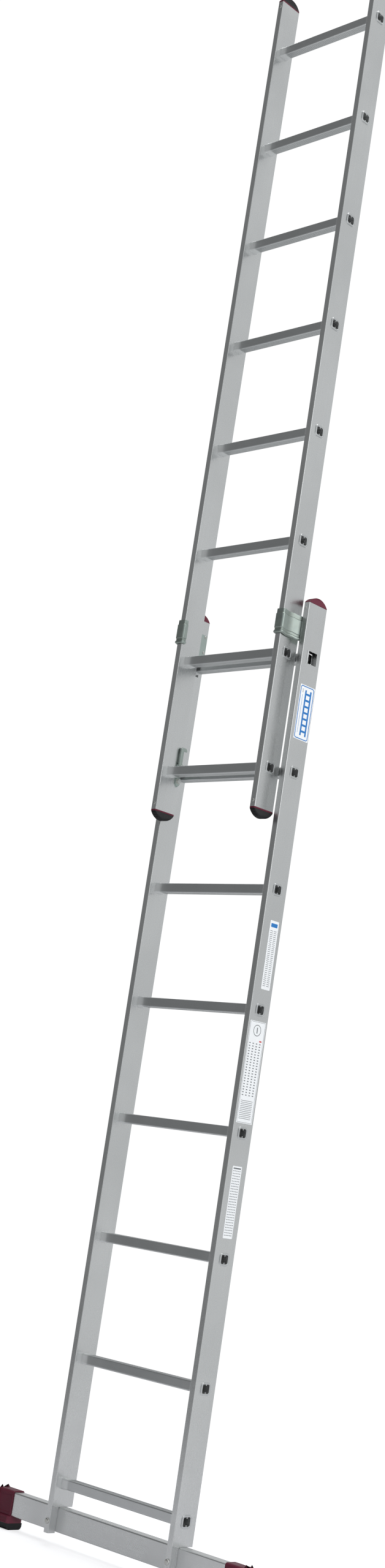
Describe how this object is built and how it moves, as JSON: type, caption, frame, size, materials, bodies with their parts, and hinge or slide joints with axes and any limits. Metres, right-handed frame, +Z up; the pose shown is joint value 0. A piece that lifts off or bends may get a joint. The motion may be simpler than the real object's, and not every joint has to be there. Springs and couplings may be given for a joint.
{
  "type": "extension ladder",
  "caption": "Two-section aluminium extension ladder: a sliding upper section with locking hooks and guide brackets on a base with a footed crossbar.",
  "frame": {"origin": "on the floor on the ladder's centreline, midway between the two sections", "axes": "+Z up the stiles, +X to the climber's right, +Y away from the climber"},
  "size_m": [0.78, 0.1237, 3.94],
  "materials": {
    "stile_aluminium": "extruded, lightly brushed along its length",
    "rung_aluminium": "extruded with fine lengthwise grooves",
    "zinc_plate": "zinc-plated pressed sheet",
    "zinc_fasteners": "bright zinc",
    "burgundy_plastic": "moulded, satin",
    "black_rubber": "moulded, matt",
    "label_film": "printed gloss film"
  },
  "bodies": {
    "base": {"base_cap_rivets": "zinc_fasteners", "base_crossbar": "stile_aluminium", "base_rung_1": "rung_aluminium", "base_rung_2": "rung_aluminium", "base_rung_3": "rung_aluminium", "base_rung_4": "rung_aluminium", "base_rung_5": "rung_aluminium", "base_rung_6": "rung_aluminium", "base_rung_7": "rung_aluminium", "base_rung_8": "rung_aluminium", "base_stile_left": "stile_aluminium", "base_stile_right": "stile_aluminium", "base_top_cap_left": "burgundy_plastic", "base_top_cap_right": "burgundy_plastic", "bracket_rivets": "zinc_fasteners", "crossbar_bolts": "zinc_fasteners", "crossbar_end_cap_left": "burgundy_plastic", "crossbar_end_cap_right": "burgundy_plastic", "crossbar_nuts": "zinc_fasteners", "crossbar_sole_left": "black_rubber", "crossbar_sole_right": "black_rubber", "guide_bracket_left": "zinc_plate", "guide_bracket_right": "zinc_plate", "label_class": "label_film", "label_grid": "label_film", "label_guide": "label_film", "label_strip": "label_film"},
    "fly": {"fly_cap_rivets": "zinc_fasteners", "fly_foot_left": "black_rubber", "fly_foot_plug_left": "burgundy_plastic", "fly_foot_plug_right": "burgundy_plastic", "fly_foot_right": "black_rubber", "fly_rung_1": "rung_aluminium", "fly_rung_2": "rung_aluminium", "fly_rung_3": "rung_aluminium", "fly_rung_4": "rung_aluminium", "fly_rung_5": "rung_aluminium", "fly_rung_6": "rung_aluminium", "fly_rung_7": "rung_aluminium", "fly_rung_8": "rung_aluminium", "fly_stile_left": "stile_aluminium", "fly_stile_right": "stile_aluminium", "fly_top_pad_left": "black_rubber", "fly_top_pad_right": "black_rubber", "fly_top_plug_left": "burgundy_plastic", "fly_top_plug_right": "burgundy_plastic", "hook_nuts": "zinc_fasteners", "hook_pivot_bolts": "zinc_fasteners", "hook_plate_bolts": "zinc_fasteners", "hook_plate_left": "zinc_plate", "hook_plate_right": "zinc_plate"},
    "hook_left": {"locking_hook_left": "zinc_plate"},
    "hook_right": {"locking_hook_right": "zinc_plate"}
  },
  "joints": [
    {"name": "fly_slide", "type": "slide", "parent": "base", "child": "fly", "axis": [0, 0, 1], "range_m": [-1.68, 0]},
    {"name": "hook_left_swing", "type": "hinge", "parent": "fly", "child": "hook_left", "pos_m": [-0.148, -0.001, 1.834], "axis": [-1, 0, 0], "range_deg": [0, 90]},
    {"name": "hook_right_swing", "type": "hinge", "parent": "fly", "child": "hook_right", "pos_m": [0.148, -0.001, 1.834], "axis": [-1, 0, 0], "range_deg": [0, 90]}
  ]
}
